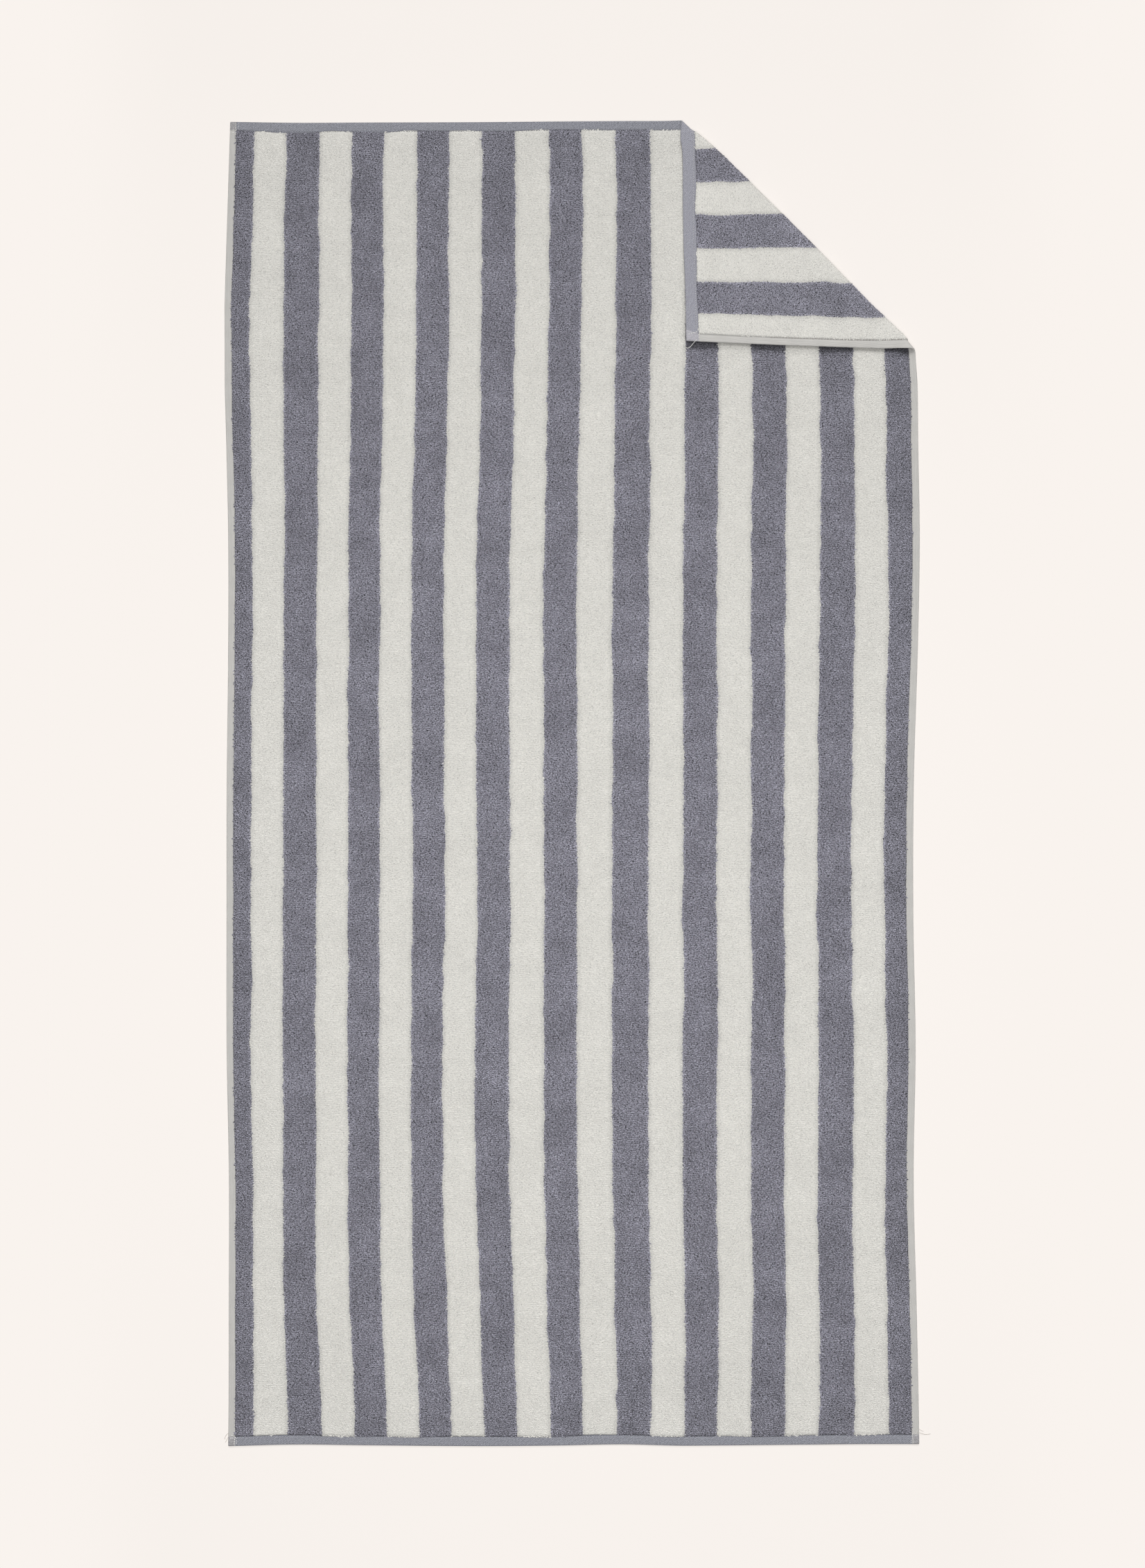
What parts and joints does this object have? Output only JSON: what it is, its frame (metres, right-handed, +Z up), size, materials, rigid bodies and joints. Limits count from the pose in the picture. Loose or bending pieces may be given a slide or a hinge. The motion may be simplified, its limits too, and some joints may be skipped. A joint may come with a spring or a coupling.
{
  "type": "bath towel",
  "caption": "Striped terry bath towel lying flat, with thin stitched hems on all sides and its top right corner turned down over the face.",
  "frame": {"origin": "on the surface the towel lies on, under the middle of its overall box", "axes": "+X across the towel to the side with the turned corner, +Y along the towel towards the end with the turned corner, +Z up out of its face"},
  "size_m": [0.7894, 1.506, 0.0109],
  "materials": {
    "terry": "cotton terry with pile on both sides, matte, in slate grey and off-white stripes along its length, the two colours changing places on the back; plain-woven hems in the same yarns"
  },
  "bodies": {
    "root": {"towel": "terry"}
  },
  "joints": []
}
